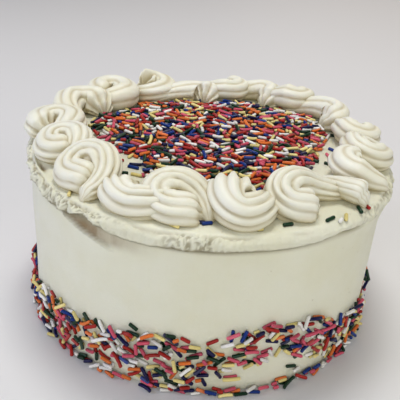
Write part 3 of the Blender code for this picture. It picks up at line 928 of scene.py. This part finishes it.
def join_kind(index, laid, forms, material):
    """All the sprinkles of one colour as one mesh, each with a tone of its own."""
    shape = bmesh.new()
    tones = []
    for sprinkle in laid:
        if sprinkle.kind != index:
            continue
        single = forms[sprinkle.form].copy()
        turned = sprinkle.direction.to_track_quat("X", "Z").to_matrix().to_4x4()
        rolled = Matrix.Rotation(sprinkle.roll, 4, "X")
        single.transform(Matrix.Translation(sprinkle.place * MM) @ turned @ rolled)
        shape.from_mesh(single)
        tones += [sprinkle.tone] * len(single.vertices)
        bpy.data.meshes.remove(single)
    piece = finish_piece("sprinkles_" + KINDS[index].name, shape, material)
    tone = piece.data.attributes.new("tone", "FLOAT", "POINT")
    tone.data.foreach_set("value", np.array(tones, np.float32))
    return piece


def sugar_material(kind):
    """Coloured sugar paste: a thin glaze over a fine grain, paler at the ends, partly where it broke and
    partly as a painted highlight, with painted shade in the gaps between rods.
    """
    made, wire, inputs = new_material("sugar_" + kind.name, {
        "Coat Roughness": 0.18,
        "Specular IOR Level": 0.25,
        "Coat Weight": 0.06,
    })
    place = wire.node("ShaderNodeTexCoord", None, None, "Object")
    grain = wire.noise(place, 0.0005, 3.0)
    tone = wire.attribute("tone")
    light = tuple(0.86 * value + 0.14 * 0.9 for value in kind.colour[:3]) + (1,)
    dark = tuple(0.72 * value for value in kind.colour[:3]) + (1,)
    colour = (tone * 0.6 + grain * 0.4).between(0.15, 0.95).colours(dark, kind.colour)
    colour = (tone.between(0.8, 1.0) * 0.35).colours(colour, light)
    # Paler ends: partly broken sugar, partly a painted highlight.
    colour = (wire.attribute("end") * (grain.between(0.4, 0.6)) * kind.pale * 4).colours(colour, light)
    # Painted shade: near-black in the gaps between rods, where they are walled in.
    gap_shade = tuple(0.10 * value for value in kind.colour[:3]) + (1,)
    open_sky = wire.node("ShaderNodeAmbientOcclusion", {"samples": 6}, {"Distance": 0.004}, "AO")
    colour = ((1 - open_sky.between(0.15, 0.75)) * 0.85).colours(colour, gap_shade)
    join(colour, inputs["Base Color"])
    join(grain * 0.2 + 0.22, inputs["Roughness"])
    join(wire.bump(grain, 0.00012), inputs["Normal"])
    return made


def make_core(trees):
    """The low mound of sprinkles under the loose ones, inside the heap's outline."""
    shape = bmesh.new()
    points = [shape.verts.new((radius, 0, height)) for radius, height in
              ((0, 0.8), (20, 0.8), (40, 0.8), (56, 0.7), (60, 0.5), (62, -0.3), (0, -0.3))]
    edges = [shape.edges.new(pair) for pair in zip(points, points[1:])]
    bmesh.ops.spin(shape, geom=points + edges, axis=(0, 0, 1), cent=(0, 0, 0), angle=FULL_TURN,
                   steps=180, use_merge=True)
    bmesh.ops.remove_doubles(shape, verts=shape.verts, dist=0.001)
    bmesh.ops.recalc_face_normals(shape, faces=shape.faces)
    for vertex in shape.verts:
        radius = math.hypot(vertex.co.x, vertex.co.y)
        if radius > 1:
            angle = math.degrees(math.atan2(vertex.co.y, vertex.co.x)) % 360
            outline = float(np.interp(angle, *zip(*heap_outline), period=360)) - 9.0
            scale = min(outline, 68.0) / 62.0
            vertex.co.x *= scale
            vertex.co.y *= scale
        if vertex.co.z > 0:
            vertex.co.z += 0.3 * wave(vertex.co, 2.4, 4.4)
        vertex.co.z += top_height
    bmesh.ops.scale(shape, verts=shape.verts, vec=(MM, MM, MM))
    made, wire, inputs = new_material("sugar_mixed", {"Specular IOR Level": 0.4})
    place = wire.node("ShaderNodeTexCoord", None, None, "Object")
    cells = wire.node("ShaderNodeTexVoronoi", None, {"Vector": place, "Scale": 420.0}, "Color")
    split = wire.node("ShaderNodeSeparateColor", None, {"Color": cells}, "Red")
    # Painted shade: the buried layer's colours at half brightness.
    stops = [(index / len(KINDS), tuple(0.5 * value for value in kind.colour[:3]) + (1,))
             for index, kind in enumerate(KINDS)]
    ramp = wire.node("ShaderNodeValToRGB", {"stops": stops}, {"Fac": split})
    join(ramp, inputs["Base Color"])
    join(split * 0.2 + 0.4, inputs["Roughness"])
    return finish_piece("sprinkle_core", shape, made)


graph = bpy.context.evaluated_depsgraph_get()
trees = [BVHTree.FromObject(piece, graph) for piece in border]
coat_tree = BVHTree.FromObject(coat, graph)
core = make_core(trees)
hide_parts("sprinkle_bed")
laid = fill_border(trees) + press_band(coat_tree) + line_foot() + drop_strays(coat_tree)
forms = [make_form(form) for form in FORMS]
for index, kind in enumerate(KINDS):
    join_kind(index, laid, forms, sugar_material(kind))
for form in forms:
    bpy.data.meshes.remove(form)


# ---- The table, the light and the camera --------------------------------------------------------
# A plain pale table in soft daylight, cool from the left and a little warmer from behind.

floor_shape = bmesh.new()
bmesh.ops.create_grid(floor_shape, x_segments=1, y_segments=1, size=6.0)
floor_mesh = bpy.data.meshes.new("table_top")
floor_shape.to_mesh(floor_mesh)
floor_shape.free()
floor = bpy.data.objects.new("table_top", floor_mesh)
bpy.context.scene.collection.objects.link(floor)
floor_material, wire, inputs = new_material("pale_table", {"Roughness": 0.6})
inputs["Base Color"].default_value = (0.74, 0.73, 0.73, 1)
floor_mesh.materials.append(floor_material)

Lamp = namedtuple("Lamp", "name place size watts colour")
LAMPS = (
    Lamp("window_front", (-0.15, -1.7, 1.0), 1.2, 12.8, (0.985, 1.0, 0.965)),
    Lamp("window_left", (-1.5, -0.3, 0.7), 0.9, 9.5, (0.70, 0.74, 1.0)),
    Lamp("window_right", (1.5, -0.7, 0.8), 0.9, 6.2, (1.0, 0.98, 0.93)),
    Lamp("ceiling", (-0.1, 0.3, 1.5), 0.5, 10.8, (1.0, 0.99, 0.96)),
    Lamp("room_behind", (0.5, 1.4, 0.8), 1.0, 4.2, (1.0, 0.90, 0.80)),
)
for row in LAMPS:
    light = bpy.data.lights.new(row.name, "AREA")
    light.size = row.size
    light.energy = row.watts
    light.color = row.colour
    lamp = bpy.data.objects.new(row.name, light)
    bpy.context.scene.collection.objects.link(lamp)
    lamp.location = row.place
    lamp.rotation_euler = (Vector((0, 0, 0.06)) - lamp.location).to_track_quat("-Z", "Y").to_euler()

world = bpy.data.worlds.new("room")
world.use_nodes = True
backdrop = world.node_tree.nodes["Background"]
backdrop.inputs["Color"].default_value = (0.86, 0.88, 0.92, 1)
backdrop.inputs["Strength"].default_value = 0.18
bpy.context.scene.world = world
bpy.context.scene.view_settings.view_transform = "Standard"

camera_aim = Vector((-0.0034, 0.0, 0.0596))
camera_distance = 0.3933
camera_elevation = 0.4926
camera_roll = 0.0803
lens = bpy.data.cameras.new("camera")
lens.sensor_width = 36
lens.lens = 54.65
lens.clip_start = 0.01
camera = bpy.data.objects.new("camera", lens)
bpy.context.scene.collection.objects.link(camera)
back = Vector((0, -math.cos(camera_elevation), math.sin(camera_elevation)))
camera.rotation_euler = (Matrix.Rotation(camera_roll, 3, back)
                         @ (-back).to_track_quat("-Z", "Y").to_matrix()).to_euler()
camera.location = camera_aim + back * camera_distance
bpy.context.scene.camera = camera
